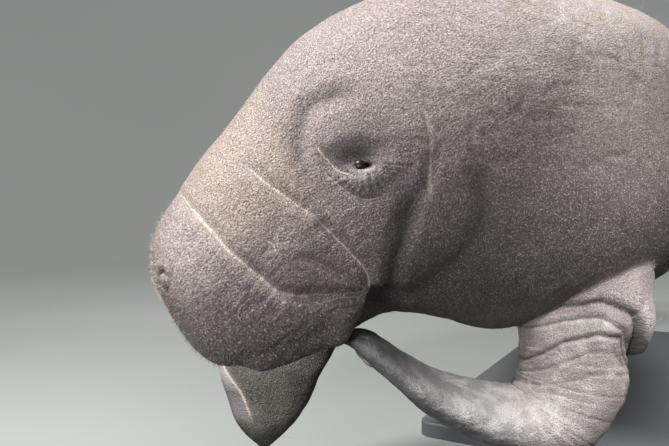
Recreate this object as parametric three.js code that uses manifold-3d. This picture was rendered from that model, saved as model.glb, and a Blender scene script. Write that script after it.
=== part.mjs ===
// A life-size West Indian manatee on a museum stand: the body hovers level, the head is bowed and turned
// a little to its right, the left flipper is folded up to the mouth and the right one reaches down and
// forward under the muzzle. Millimetres, +Z up, the animal faces -X and its left side is -Y. The origin
// is the middle of the stand's underside.
import * as THREE from "three";
import Module from "manifold-3d";
import { mergeVertices } from "three/addons/utils/BufferGeometryUtils.js";

const wasm = await Module();
wasm.setup();

// Driving dimensions of the animal, laid out straight before it is posed. X runs back from the tip of the
// snout.
const SNOUT_TO_CENTRE = 1470; // from the tip of the snout to the middle of the stand
const SNOUT_HEIGHT = 590; // of the nostrils above the floor, before the head is bowed
const HEAD_PITCH = 26.5; // degrees that the head is bowed
const HEAD_YAW = 37; // degrees that the head is turned to the animal's right
const NECK_FRONT = 285; // the neck bends from here
const NECK_REAR = 640; // down to here
const TURN_REAR = 900; // and sideways to here
const TAIL_FRONT = 1450; // the back starts to droop here
const TAIL_REAR = 2250; // and stops here
const TAIL_DROOP = 15; // degrees
const JOINT_GAP = 0.4; // between nodes that meet

// Sections of the body from the muzzle to the tip of the tail. Each gives the back line and the belly
// line as [x, z], the flank as [x, y, z], and how square the section is above and below the flank: 2 is
// an ellipse.
const BODY = [
  { at: "middle of the oral disk", back: [-8, -62], flank: [-8, 0, -62], belly: [-8, -62], square: [2, 2] },
  { at: "rim of the oral disk", back: [-4, -18], flank: [-1, 52, -62],
    belly: [-4, -106], square: [2.2, 2.4] },
  { at: "lip pads", back: [17, 28], flank: [15, 84, -70], belly: [12, -142], square: [2.2, 2.6] },
  { at: "top of the snout", back: [66, 64], flank: [50, 99, -86], belly: [50, -160], square: [2.1, 2.8] },
  { at: "bridge", back: [115, 92], flank: [95, 105, -98], belly: [95, -172], square: [2.1, 2.8] },
  { at: "rear of the lips", back: [162, 115], flank: [145, 107, -100],
    belly: [140, -180], square: [2.1, 2.6] },
  { at: "corner of the mouth", back: [210, 140], flank: [198, 108, -96],
    belly: [190, -186], square: [2.1, 2.4] },
  { at: "eyes", back: [255, 163], flank: [250, 122, -80], belly: [232, -195], square: [2.2, 2.3] },
  { at: "cheeks", back: [305, 183], flank: [305, 142, -60], belly: [278, -222], square: [2.2, 2.2] },
  { at: "nape", back: [386, 199], flank: [380, 160, -50], belly: [345, -268], square: [2.2, 2.2] },
  { at: "neck", back: [480, 212], flank: [475, 184, -50], belly: [440, -307], square: [2.2, 2.2] },
  { at: "front of the shoulders", back: [600, 226], flank: [600, 220, -50],
    belly: [580, -316], square: [2.2, 2.2] },
  { at: "armpits", back: [760, 246], flank: [760, 266, -45], belly: [755, -306], square: [2.2, 2.3] },
  { at: "chest", back: [960, 266], flank: [960, 306, -40], belly: [960, -293], square: [2.2, 2.3] },
  { at: "navel", back: [1200, 274], flank: [1200, 330, -35], belly: [1200, -292], square: [2.2, 2.3] },
  { at: "belly", back: [1450, 258], flank: [1450, 318, -30], belly: [1450, -274], square: [2.2, 2.3] },
  { at: "loins", back: [1680, 222], flank: [1680, 270, -20], belly: [1680, -232], square: [2.1, 2.2] },
  { at: "hips", back: [1880, 170], flank: [1880, 208, -10], belly: [1880, -182], square: [2, 2.1] },
  { at: "tail stock", back: [2040, 125], flank: [2040, 168, 0], belly: [2040, -138], square: [1.9, 2] },
  { at: "root of the paddle", back: [2160, 98], flank: [2160, 172, 2],
    belly: [2160, -102], square: [1.6, 1.7] },
  { at: "paddle widens", back: [2280, 74], flank: [2280, 222, 0], belly: [2280, -74], square: [1.4, 1.4] },
  { at: "paddle front", back: [2400, 56], flank: [2400, 290, 0], belly: [2400, -54], square: [1.4, 1.4] },
  { at: "paddle middle", back: [2520, 42], flank: [2520, 338, 0], belly: [2520, -40], square: [1.4, 1.4] },
  { at: "paddle at its widest", back: [2640, 31], flank: [2640, 345, 0],
    belly: [2640, -29], square: [1.4, 1.4] },
  { at: "paddle rear", back: [2750, 22], flank: [2748, 305, 0], belly: [2750, -20], square: [1.4, 1.4] },
  { at: "paddle rounds off", back: [2835, 14], flank: [2828, 222, 0],
    belly: [2835, -13], square: [1.4, 1.4] },
  { at: "paddle end", back: [2882, 9], flank: [2878, 116, 0], belly: [2882, -9], square: [1.5, 1.5] },
  { at: "tip of the paddle", back: [2898, 0], flank: [2898, 0, 0], belly: [2898, 0], square: [2, 2] },
];

// The lower jaw, in the same way.
const JAW = [
  { at: "chin", back: [48, -158], flank: [48, 0, -158], belly: [48, -158], square: [2, 2] },
  { at: "front of the lower lip", back: [52, -142], flank: [54, 36, -158],
    belly: [54, -173], square: [2, 2] },
  { at: "lower lip", back: [76, -128], flank: [78, 52, -158], belly: [76, -183], square: [2.2, 2.2] },
  { at: "middle of the jaw", back: [130, -122], flank: [130, 60, -160],
    belly: [128, -191], square: [2.2, 2.2] },
  { at: "under the corner of the mouth", back: [185, -122], flank: [188, 64, -160],
    belly: [185, -196], square: [2.2, 2.2] },
  { at: "rear of the jaw", back: [232, -132], flank: [236, 56, -164],
    belly: [232, -201], square: [2.2, 2.2] },
  { at: "front of the throat", back: [272, -156], flank: [276, 34, -182],
    belly: [272, -213], square: [2, 2] },
  { at: "end", back: [290, -190], flank: [290, 0, -190], belly: [290, -190], square: [2, 2] },
];

// Folds of the skin on the head and the body. The line lies on the animal's left side and the right side
// has the same one. At the line the skin goes in by the depth, and it starts to do so at the width. A
// depth below 0 is a swelling.
const FOLDS = [
  { at: "over the snout", depth: 4.5, width: 10,
    line: [[70, 0, 64], [66, -66, 32], [77, -95, -23], [101, -105, -78]] },
  { at: "down to the lips", depth: 5, width: 11,
    line: [[101, -105, -78], [142, -107, -108], [189, -101, -132]] },
  { at: "from the bridge", depth: 4.5, width: 10,
    line: [[138, -68, 63], [153, -88, 27], [181, -102, -26]] },
  { at: "to the mouth", depth: 5, width: 10,
    line: [[181, -102, -26], [194, -107, -66], [207, -109, -113], [204, -104, -132]] },
  { at: "before the mouth", depth: 3, width: 8,
    line: [[145, -105, -58], [174, -107, -95], [195, -104, -128]] },
  { at: "bags under the eye", depth: 3, width: 7,
    line: [[220, -92, 51], [225, -101, 27], [230, -106, 13], [243, -112, -3]] },
  { at: "cheek under the eye", depth: 2.5, width: 8,
    line: [[213, -99, 17], [222, -106, -3], [233, -112, -24], [262, -124, -38]] },
  { at: "brow", depth: 5, width: 22,
    line: [[198, -88, 30], [205, -84, 59], [216, -81, 75], [236, -82, 94], [283, -108, 89]] },
  { at: "behind the eye", depth: 3.5, width: 14,
    line: [[334, -148, -12], [311, -144, -45], [279, -133, -68]] },
  { at: "down to the jaw", depth: 7, width: 20,
    line: [[286, -135, -58], [262, -126, -90], [240, -115, -125], [227, -94, -162]] },
  { at: "jowl", depth: 5, width: 26,
    line: [[374, -150, -70], [366, -155, -102], [349, -147, -130], [308, -128, -152], [264, -96, -175]] },
  { at: "cleft of the upper lip", depth: 9, width: 20, line: [[-4, 0, -92], [10, 0, -130], [46, 0, -160]] },
  { at: "lip pads", depth: -13, width: 40, line: [[62, -60, -160], [100, -66, -172], [146, -68, -180]] },
  { at: "rear of the lip pads", depth: -7, width: 34, line: [[164, -84, -158], [160, -66, -178]] },
  { at: "hollow of the eye", depth: 5, width: 26,
    line: [[238, -112, 22], [252, -117, 18], [264, -120, 12]] },
  { at: "pouch under the eye", depth: -4, width: 18, line: [[250, -119, -14], [266, -121, -14]] },
  { at: "nostril", depth: 7, width: 6,
    line: [[4, -35, -14], [3, -38, -9], [2, -44, -7], [2, -50, -9], [3, -53, -14]] },
  { at: "valve of the nostril", depth: -3, width: 10, line: [[2, -41, -17], [2, -47, -18]] },
  { at: "navel", depth: 7, width: 16, line: [[1190, 0, -292], [1210, 0, -292]] },
  { at: "root of the tail", depth: 4, width: 30,
    line: [[2060, 0, 125], [2060, -130, 60], [2060, -165, 0], [2060, 0, -140]] },
];
const EYE = [258, 104, 4]; // centre of the eyeball
const EYE_RADIUS = 10;
const LID_DEPTH = 7; // how far the skin goes in round the eyeball
const EAR = [386, 153, 12]; // the pinhole of the ear
const MOUTH_CORNER = [206, -132]; // x and z
const LIP_SLOPE = [0.82, -0.572]; // x and z, at right angles to the rear edge of the upper lip

// The flippers stand as they are posed. Each section has the inner and the outer edge of its outline, and
// it reaches half this far to both sides along LOOK.
const LOOK = new THREE.Vector3(0.866, 0.5, 0);
const LEFT_FLIPPER = [
  { at: "end in the body", inner: [-800, -90, 440], outer: [-800, -90, 440], half: 0 },
  { at: "inside the body", inner: [-883, 33, 410], outer: [-775, -154, 435], half: 60 },
  { at: "root", inner: [-917, 12, 331], outer: [-808, -176, 368], half: 66 },
  { at: "end of the shoulder fold", inner: [-937, -7, 289], outer: [-842, -172, 307], half: 66 },
  { at: "upper arm", inner: [-948, -13, 253], outer: [-870, -148, 253], half: 60 },
  { at: "elbow", inner: [-958, -11, 220], outer: [-880, -147, 198], half: 57 },
  { at: "bend", inner: [-970, -6, 201], outer: [-901, -126, 149], half: 58 },
  { at: "wrist", inner: [-989, 7, 205], outer: [-930, -95, 111], half: 60 },
  { at: "heel of the hand", inner: [-1014, 30, 212], outer: [-974, -39, 105], half: 64 },
  { at: "palm", inner: [-1053, 69, 226], outer: [-1028, 26, 136], half: 68 },
  { at: "fingers", inner: [-1087, 100, 250], outer: [-1074, 79, 173], half: 66 },
  { at: "finger ends", inner: [-1114, 120, 271], outer: [-1112, 116, 218], half: 58 },
  { at: "last joints", inner: [-1138, 138, 290], outer: [-1142, 146, 256], half: 46 },
  { at: "near the tip", inner: [-1156, 155, 293], outer: [-1158, 160, 274], half: 32 },
  { at: "tip", inner: [-1171, 174, 277], outer: [-1171, 174, 277], half: 0 },
];
const RIGHT_FLIPPER = [
  { at: "end in the body", inner: [-640, 150, 350], outer: [-640, 150, 350], half: 0 },
  { at: "inside the body", inner: [-683, 186, 409], outer: [-663, 151, 278], half: 48 },
  { at: "root", inner: [-769, 206, 390], outer: [-759, 188, 279], half: 46 },
  { at: "upper arm", inner: [-853, 251, 388], outer: [-837, 224, 291], half: 42 },
  { at: "elbow", inner: [-928, 306, 365], outer: [-902, 260, 284], half: 40 },
  { at: "wrist", inner: [-1001, 358, 311], outer: [-956, 280, 243], half: 34 },
  { at: "palm", inner: [-1069, 416, 249], outer: [-993, 284, 211], half: 28 },
  { at: "fingers", inner: [-1099, 427, 202], outer: [-1018, 287, 189], half: 25 },
  { at: "finger ends", inner: [-1103, 408, 151], outer: [-1039, 298, 148], half: 21 },
  { at: "near the tip", inner: [-1102, 387, 113], outer: [-1061, 316, 113], half: 17 },
  { at: "tip", inner: [-1088, 348, 76], outer: [-1088, 348, 76], half: 0 },
];
// Folds round the left arm. Each runs at these sections at five places, evenly from the inner to the
// outer edge. Above the first one the loose skin of the shoulder stands out, by the first value all round
// and by both at the outer edge.
const ARM_FOLDS = [
  { run: [2.75, 2.45, 2.42, 2.9, 4.2], width: 0.22, depth: 6 },
  { run: [3.2, 2.9, 2.87, 3.45, 4.3], width: 0.18, depth: 4 },
  { run: [4.4, 3.6, 3.42, 3.6, 4.6], width: 0.2, depth: 4.5 },
  { run: [4.9, 4.3, 3.95, 4, 4.8], width: 0.18, depth: 2 },
];
const SHOULDER_SKIN = [7, 13];
const FLIPPER_CUTS = { left: [4.35, 7.6], right: [3, 5] }; // below the upper arm and the forearm, in sections
const NAIL = [10, 7, 4]; // half length, width and height
// Section and angle of each nail
const NAILS = {
  left: [[11.9, 0.5], [12.1, 0], [12, -0.5]],
  right: [[8.9, -1.1], [9.3, -1.57], [8.9, -2.1]],
};

// Stand
const BASE = [1400, 500, 30]; // length, width and height
const ROD_RADIUS = 25;
const RODS = [-530, 380]; // X of each rod

const radians = THREE.MathUtils.degToRad;
const smooth = (x, from, to) => THREE.MathUtils.smoothstep(x, from, to);
const vector = (list) => new THREE.Vector3(...list);

// A value that runs smoothly through a list: t is 0 at its first entry and 1 more at each next one.
function through(list, t) {
  const i = Math.min(Math.max(Math.floor(t), 0), list.length - 2);
  const u = t - i;
  const b = list[i];
  const c = list[i + 1];
  const a = i > 0 ? list[i - 1] : 2 * b - c;
  const d = i + 2 < list.length ? list[i + 2] : 2 * c - b;
  return b + 0.5 * u * (c - a + u * (2 * a - 5 * b + 4 * c - d + u * (3 * (b - c) + d - a)));
}

// The surface over sections of the body: t counts along the list, and the angle goes round from the right
// side.
function bodySurface(sections) {
  const lists = {
    backX: sections.map((s) => s.back[0]),
    backZ: sections.map((s) => s.back[1]),
    flankX: sections.map((s) => s.flank[0]),
    flankY: sections.map((s) => s.flank[1]),
    flankZ: sections.map((s) => s.flank[2]),
    bellyX: sections.map((s) => s.belly[0]),
    bellyZ: sections.map((s) => s.belly[1]),
    above: sections.map((s) => s.square[0]),
    below: sections.map((s) => s.square[1]),
  };
  return (t, angle) => {
    const v = (name) => through(lists[name], t);
    const up = Math.sin(angle) >= 0;
    const power = 2 / v(up ? "above" : "below");
    const rise = Math.abs(Math.sin(angle)) ** power;
    const side = Math.sign(Math.cos(angle)) * Math.abs(Math.cos(angle)) ** power;
    const x = v("flankX");
    const z = v("flankZ");
    return new THREE.Vector3(
      x + ((up ? v("backX") : v("bellyX")) - x) * rise,
      v("flankY") * side,
      z + ((up ? v("backZ") : v("bellyZ")) - z) * rise,
    );
  };
}

// The surface over the sections of a flipper.
function limbSurface(sections) {
  const lists = [0, 1, 2].map((k) => [sections.map((s) => s.inner[k]), sections.map((s) => s.outer[k])]);
  const halves = sections.map((s) => s.half);
  return (t, angle) => {
    const inner = vector(lists.map((l) => through(l[0], t)));
    const outer = vector(lists.map((l) => through(l[1], t)));
    const middle = inner.clone().add(outer).multiplyScalar(0.5);
    middle.addScaledVector(outer.sub(inner), 0.5 * Math.cos(angle));
    return middle.addScaledVector(LOOK, -through(halves, t) * Math.sin(angle));
  };
}

// The pose: the backbone as a curve. Each point keeps its place in its own slice, and the slices turn
// along the curve.
const SLICE = 10;
const STILL = 1000; // this slice of the chest stays where it is
const backbone = makeBackbone();

function turnAt(x) {
  const bowed = 1 - smooth(x, NECK_FRONT, NECK_REAR);
  const turned = 1 - smooth(x, NECK_FRONT, TURN_REAR);
  const pitch = radians(HEAD_PITCH * bowed - TAIL_DROOP * smooth(x, TAIL_FRONT, TAIL_REAR));
  const turnOn = (axis, angle) => new THREE.Quaternion().setFromAxisAngle(vector(axis), angle);
  return turnOn([0, 0, 1], radians(-HEAD_YAW * turned)).multiply(turnOn([0, 1, 0], -pitch));
}

function makeBackbone() {
  const places = new Map([[STILL, new THREE.Vector3(STILL, 0, 0)]]);
  for (const step of [SLICE, -SLICE]) {
    const place = new THREE.Vector3(STILL, 0, 0);
    for (let x = STILL; x > -200 && x < 2960; x += step) {
      place.add(new THREE.Vector3(step, 0, 0).applyQuaternion(turnAt(x + step / 2)));
      places.set(x + step, place.clone());
    }
  }
  return places;
}

function posed(p) {
  const slice = Math.floor(p.x / SLICE) * SLICE;
  const on = backbone.get(slice).clone().lerp(backbone.get(slice + SLICE), (p.x - slice) / SLICE);
  const place = new THREE.Vector3(0, p.y, p.z).applyQuaternion(turnAt(p.x)).add(on);
  return place.add(new THREE.Vector3(-SNOUT_TO_CENTRE, 0, SNOUT_HEIGHT));
}

// Distance from a point to a line through given points.
function distanceTo(p, line) {
  let nearest = Infinity;
  for (let i = 0; i + 1 < line.length; i++) {
    const closest = new THREE.Line3(line[i], line[i + 1]).closestPointToPoint(p, true, new THREE.Vector3());
    nearest = Math.min(nearest, closest.distanceTo(p));
  }
  return nearest;
}

const folds = FOLDS.map((fold) => {
  const line = fold.line.map(vector);
  const box = new THREE.Box3().setFromPoints(line).expandByScalar(fold.width);
  return { ...fold, line, box };
});

// How far the skin goes in at a point of the straight body, and how long the edges of the mesh may be
// there.
function skinAt(p) {
  const left = new THREE.Vector3(p.x, -Math.abs(p.y), p.z);
  let furrow = 0;
  let swelling = 0;
  let size = 40 + Math.min(Math.max(p.x - 330, 0) * 0.25, 80);
  for (const fold of folds) {
    if (!fold.box.containsPoint(left)) continue;
    const far = distanceTo(left, fold.line) / fold.width;
    if (far >= 1) continue;
    const deep = fold.depth * (1 - far ** 2) ** 2;
    if (deep > 0) furrow = Math.max(furrow, deep);
    else swelling -= deep;
    size = Math.min(size, Math.max(fold.width * 1.5, 9));
  }
  let depth = furrow - swelling;
  const eye = left.distanceTo(vector([EYE[0], -EYE[1] - 12, EYE[2]]));
  if (eye < 20) size = Math.min(size, 8);
  depth += LID_DEPTH * (1 - smooth(eye, 4, 11));
  const ear = left.distanceTo(vector([EAR[0], -EAR[1], EAR[2]]));
  if (ear < 8) {
    depth += 5 * (1 - smooth(ear, 0, 5));
    size = Math.min(size, 3.5);
  }
  const behind = (left.x - MOUTH_CORNER[0]) * LIP_SLOPE[0] + (left.z - MOUTH_CORNER[1]) * LIP_SLOPE[1];
  const down = (MOUTH_CORNER[0] - left.x) * -LIP_SLOPE[1] + (MOUTH_CORNER[1] - left.z) * LIP_SLOPE[0];
  const lateral = smooth(-left.y, 30, 75);
  const below = smooth(down, -8, 12);
  depth += 16 * smooth(behind, -1, 6) * (1 - smooth(behind, 26, 80)) * below * lateral;
  if (behind > -3 && behind < 9 && below > 0.05 && lateral > 0.05) size = Math.min(size, 12);
  return { depth, size };
}

// The surface with its folds: every point moves in along the normal of the plain surface.
function folded(surface, depthAt) {
  const step = 0.01;
  return (t, angle) => {
    const p = surface(t, angle);
    const along = surface(t + step, angle).sub(surface(t - step, angle));
    const round = surface(t, angle + step).sub(surface(t, angle - step));
    const normal = round.cross(along).normalize();
    return p.addScaledVector(normal, depthAt(p, t, angle));
  };
}

// A closed mesh of a surface between two poles. Edges are halved until they are short enough and close to
// the surface, and whenever an edge of a triangle is halved, so is its longest one.
function meshOf(surface, rows, columns, sizeAt, toleranceAt) {
  const places = [{ t: 0, angle: null }];
  for (let t = 1; t < rows; t++) {
    for (let j = 0; j < columns; j++) {
      places.push({ t, angle: (2 * Math.PI * (j + 0.5 * (t % 2))) / columns });
    }
  }
  places.push({ t: rows, angle: null });
  const points = places.map((place) => surface(place.t, place.angle ?? 0));
  const at = (t, j) => 1 + (t - 1) * columns + ((j + columns) % columns);
  let faces = [];
  for (let j = 0; j < columns; j++) {
    faces.push([0, at(1, j + 1), at(1, j)], [places.length - 1, at(rows - 1, j), at(rows - 1, j + 1)]);
    for (let t = 1; t < rows - 1; t++) {
      const next = at(t + 1, j + (t % 2));
      faces.push([at(t, j), at(t, j + 1), next], [at(t, j + 1), at(t + 1, j + (t % 2) + 1), next]);
    }
  }
  const edges = new Map();
  const edgeOf = (a, b) => {
    const key = a < b ? `${a} ${b}` : `${b} ${a}`;
    if (!edges.has(key)) {
      const [p, q] = [places[a], places[b]];
      const turn = (q.angle ?? p.angle) - (p.angle ?? q.angle);
      const angle = (p.angle ?? q.angle) + (turn - 2 * Math.PI * Math.round(turn / (2 * Math.PI))) / 2;
      const place = { t: (p.t + q.t) / 2, angle };
      const point = surface(place.t, place.angle);
      const length = points[a].distanceTo(points[b]);
      const off = distanceTo(point, [points[a], points[b]]);
      const halved = length > sizeAt(point) || (off > toleranceAt(point) && length > 12);
      edges.set(key, { place, point, length, halved });
    }
    return edges.get(key);
  };
  for (;;) {
    const sides = faces.map(([a, b, c]) => [edgeOf(a, b), edgeOf(b, c), edgeOf(c, a)]);
    for (let more = true; more; ) {
      more = false;
      for (const side of sides) {
        const longest = side.reduce((l, e) => (e.length > l.length ? e : l));
        if (longest.halved || !side.some((e) => e.halved)) continue;
        longest.halved = true;
        more = true;
      }
    }
    const next = [];
    faces.forEach((face, i) => {
      const mid = sides[i].map((edge) => {
        if (!edge.halved) return null;
        if (edge.at === undefined) {
          edge.at = points.push(edge.point) - 1;
          places.push(edge.place);
        }
        return edge.at;
      });
      const longest = sides[i].reduce((l, e, k) => (e.length > sides[i][l].length ? k : l), 0);
      const [a, b, c] = [0, 1, 2].map((k) => face[(longest + k) % 3]);
      const [ab, bc, ca] = [0, 1, 2].map((k) => mid[(longest + k) % 3]);
      if (ab === null) {
        next.push(face);
        return;
      }
      if (bc === null) next.push([ab, b, c]);
      else next.push([ab, b, bc], [ab, bc, c]);
      if (ca === null) next.push([a, ab, c]);
      else next.push([a, ab, ca], [ca, ab, c]);
    });
    if (next.length === faces.length) return { points, faces };
    faces = next;
  }
}

function geometryOf({ points, faces }) {
  return new THREE.BufferGeometry().setFromPoints(points).setIndex(faces.flat());
}

// The same mesh with every point moved out along its normal.
function grown(mesh, distance) {
  const geometry = geometryOf(mesh);
  geometry.computeVertexNormals();
  const normals = geometry.attributes.normal;
  const out = (i) => new THREE.Vector3().fromBufferAttribute(normals, i);
  const points = mesh.points.map((p, i) => p.clone().addScaledVector(out(i), distance));
  return { points, faces: mesh.faces };
}

function solid({ points, faces }) {
  return new wasm.Manifold(
    new wasm.Mesh({
      numProp: 3,
      vertProperties: new Float32Array(points.flatMap((p) => p.toArray())),
      triVerts: new Uint32Array(faces.flat()),
    }),
  );
}

function solidOf(geometry) {
  const bare = new THREE.BufferGeometry();
  bare.setAttribute("position", geometry.attributes.position);
  bare.setIndex(geometry.index);
  const joined = mergeVertices(bare, 1e-3);
  const points = [];
  for (let i = 0; i < joined.attributes.position.count; i++) {
    points.push(new THREE.Vector3().fromBufferAttribute(joined.attributes.position, i));
  }
  const faces = [];
  for (let i = 0; i < joined.index.count; i += 3) faces.push([0, 1, 2].map((k) => joined.index.getX(i + k)));
  return solid({ points, faces });
}

function meshFrom(manifold) {
  const mesh = manifold.getMesh();
  const points = [];
  for (let i = 0; i < mesh.numVert; i++) {
    points.push(vector(mesh.vertProperties.slice(i * mesh.numProp, i * mesh.numProp + 3)));
  }
  const faces = [];
  for (let i = 0; i < mesh.numTri; i++) faces.push([...mesh.triVerts.slice(3 * i, 3 * i + 3)]);
  return { points, faces };
}

const SKIN = 0x8d817c;
const STEEL = 0x3a3f44;
const group = new THREE.Group();
function add(name, mesh, color = SKIN) {
  const material = new THREE.MeshStandardMaterial({ color, roughness: 0.6, metalness: 0 });
  const node = new THREE.Mesh(geometryOf(mesh), material);
  node.name = name;
  group.add(node);
}

// Body
const straight = meshOf(
  folded(bodySurface(BODY), (p) => -skinAt(p).depth),
  BODY.length - 1,
  20,
  (p) => skinAt(p).size,
  (p) => (p.x < 420 ? 1.8 : 5),
);
const pose = (mesh) => ({ points: mesh.points.map(posed), faces: mesh.faces });
const skin = pose(straight);
const jaw = pose(meshOf(bodySurface(JAW), JAW.length - 1, 12, () => 34, () => 2));
const ball = (y, radius) => {
  const { x, y: side, z } = posed(new THREE.Vector3(EYE[0], y, EYE[2]));
  return solidOf(new THREE.SphereGeometry(radius, 16, 10).translate(x, side, z));
};
const eyes = { left: -EYE[1], right: EYE[1] };
let body = solid(skin).subtract(solid(grown(jaw, JOINT_GAP)));
for (const y of Object.values(eyes)) body = body.subtract(ball(y, EYE_RADIUS + JOINT_GAP));

// The cut across the body at x keeps what lies behind it, or ahead of it.
function cut(whole, x, behind) {
  const sign = behind ? 1 : -1;
  const normal = new THREE.Vector3(sign, 0, 0).applyQuaternion(turnAt(x));
  return whole.trimByPlane(normal.toArray(), normal.dot(posed(new THREE.Vector3(x, 0, 0))) + JOINT_GAP / 2);
}

// Where each length of the body ends
const CUTS = {
  head: 350,
  neck: 600,
  chest: 1000,
  belly: 1500,
  loins: 2000,
  tail_stock: 2200,
  tail_paddle: 2940,
};
let from = -90;
for (const [name, to] of Object.entries(CUTS)) {
  add(name, meshFrom(cut(cut(body, from, true), to, false)));
  from = to;
}
add("lower_jaw", jaw);
for (const [side, y] of Object.entries(eyes)) add(`eye_${side}`, meshFrom(ball(y, EYE_RADIUS)), 0x1a1512);
const around = solid(grown(skin, JOINT_GAP)).add(solid(grown(jaw, JOINT_GAP)));

// Flippers
const unit = (p) => p.clone().normalize();
function loosened(side) {
  return (p, t, angle) => {
    if (side === "right") return 0;
    const across = Math.cos(angle);
    const off = (run) => t - through(run, 2 * across + 2);
    const edge = off(ARM_FOLDS[0].run);
    const loose = SHOULDER_SKIN[0] + SHOULDER_SKIN[1] * smooth(across, 0.2, 1);
    let depth = -loose * smooth(edge, -1.5, -0.1) * (1 - smooth(edge, -0.04, 0.1));
    for (const fold of ARM_FOLDS) {
      const far = Math.abs(off(fold.run)) / fold.width;
      if (far < 1) depth += fold.depth * (1 - far ** 2) ** 2;
    }
    return -depth;
  };
}
for (const [side, sections] of Object.entries({ left: LEFT_FLIPPER, right: RIGHT_FLIPPER })) {
  const surface = folded(limbSurface(sections), loosened(side));
  let whole = solid(meshOf(surface, sections.length - 1, 12, () => 60, () => 3)).subtract(around);
  NAILS[side].forEach(([t, angle], i) => {
    const along = unit(surface(t + 0.05, angle).sub(surface(t - 0.05, angle)));
    const round = surface(t, angle + 0.05).sub(surface(t, angle - 0.05));
    const normal = unit(round.cross(along));
    const place = new THREE.Matrix4().makeBasis(along, normal.clone().cross(along), normal);
    place.setPosition(surface(t, angle));
    const nail = (gap) => {
      const shape = new THREE.SphereGeometry(1, 8, 6).scale(...NAIL.map((r) => r + gap));
      return solidOf(shape.applyMatrix4(place));
    };
    whole = whole.subtract(nail(JOINT_GAP));
    add(`nail_${side}_${i + 1}`, meshFrom(nail(0)), 0xb5aa98);
  });
  const cross = FLIPPER_CUTS[side].map((t) => {
    const inner = surface(t, Math.PI);
    const normal = unit(surface(t, 0).sub(inner).cross(LOOK));
    const ahead = surface(t + 0.5, Math.PI).sub(inner).dot(normal) > 0 ? 1 : -1;
    return { inner, normal: normal.multiplyScalar(ahead) };
  });
  const part = (piece, { inner, normal }, sign) => {
    const facing = normal.clone().multiplyScalar(sign);
    return piece.trimByPlane(facing.toArray(), facing.dot(inner) + JOINT_GAP / 2);
  };
  const arm = part(whole, cross[1], -1);
  add(`flipper_${side}_upper_arm`, meshFrom(part(arm, cross[0], -1)));
  add(`flipper_${side}_forearm`, meshFrom(part(arm, cross[0], 1)));
  add(`flipper_${side}_hand`, meshFrom(part(whole, cross[1], 1)));
}

// Stand
const [length, width, height] = BASE;
const plate = new THREE.BoxGeometry(length, width, height).translate(0, 0, height / 2);
add("stand_base", meshFrom(solidOf(plate)), STEEL);
RODS.forEach((x, i) => {
  const rod = new THREE.CylinderGeometry(ROD_RADIUS, ROD_RADIUS, 500, 24).rotateX(Math.PI / 2);
  const standing = solidOf(rod.translate(x, 0, height + JOINT_GAP + 250)).subtract(around);
  const below = standing.decompose().sort((a, b) => a.boundingBox().min[2] - b.boundingBox().min[2])[0];
  add(`stand_rod_${i ? "rear" : "front"}`, meshFrom(below), STEEL);
});

export default group;
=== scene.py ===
import math

import bmesh
import bpy
import numpy as np
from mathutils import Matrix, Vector, kdtree


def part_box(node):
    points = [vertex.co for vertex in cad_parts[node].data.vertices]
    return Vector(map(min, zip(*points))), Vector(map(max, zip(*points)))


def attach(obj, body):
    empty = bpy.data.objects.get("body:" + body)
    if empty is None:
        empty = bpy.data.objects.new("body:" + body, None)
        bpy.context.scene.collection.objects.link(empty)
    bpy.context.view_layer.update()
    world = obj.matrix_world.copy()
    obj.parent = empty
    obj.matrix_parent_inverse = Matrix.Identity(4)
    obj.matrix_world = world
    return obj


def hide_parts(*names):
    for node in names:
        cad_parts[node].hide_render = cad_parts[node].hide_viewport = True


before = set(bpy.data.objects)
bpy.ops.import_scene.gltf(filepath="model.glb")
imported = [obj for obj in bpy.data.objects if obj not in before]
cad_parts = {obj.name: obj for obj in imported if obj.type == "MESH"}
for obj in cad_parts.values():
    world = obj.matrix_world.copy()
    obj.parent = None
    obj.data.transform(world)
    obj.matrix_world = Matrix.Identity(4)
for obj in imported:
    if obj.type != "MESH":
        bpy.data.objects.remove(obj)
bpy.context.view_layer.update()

rng = np.random.default_rng(7)
MM = 0.001

# Camera and the frame of the picture
LOOK_AZIMUTH = -60
CAMERA_PLACE = (-1.8513, -0.2197, 0.4336)
LENS = 32.45

# Driving dimensions of the pose, as in the part's source
SNOUT_TO_CENTRE = 1470
SNOUT_HEIGHT = 590
HEAD_PITCH = 26.5
HEAD_YAW = 37
NECK_FRONT = 285
NECK_REAR = 640
TURN_REAR = 900
TAIL_FRONT = 1450
TAIL_REAR = 2250
TAIL_DROOP = 15
STILL = 1000

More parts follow.
